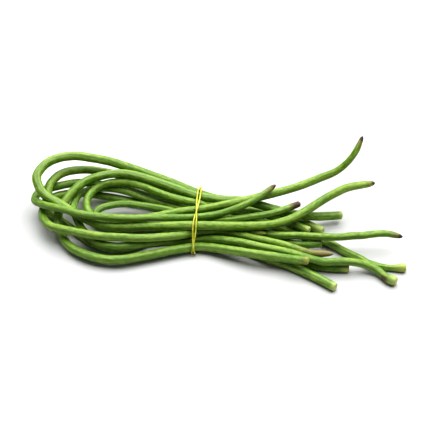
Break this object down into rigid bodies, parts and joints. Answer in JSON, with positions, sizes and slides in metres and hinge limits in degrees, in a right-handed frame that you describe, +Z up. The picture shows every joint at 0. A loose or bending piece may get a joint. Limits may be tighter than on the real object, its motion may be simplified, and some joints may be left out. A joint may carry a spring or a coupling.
{
  "type": "yardlong bean bunch",
  "caption": "Bunch of long slender green bean pods, folded double into loops and held round the middle by a rubber band, lying on a surface.",
  "frame": {"origin": "under the middle of the bunch, on the surface that it lies on", "axes": "+X along the bunch, from the folded loops towards the free stem ends and tips; +Y across it, away from the lower front edge; +Z up"},
  "size_m": [0.378, 0.1586, 0.077],
  "materials": {
    "pod": "smooth, softly shining fresh green skin with yellow-brown stem ends and darker tips",
    "band": "matte bright yellow rubber"
  },
  "bodies": {
    "root": {"pod_1": "pod", "pod_2": "pod", "pod_3": "pod", "pod_4": "pod", "pod_5": "pod", "pod_6": "pod", "pod_7": "pod", "pod_8": "pod", "rubber_band": "band"}
  },
  "joints": []
}
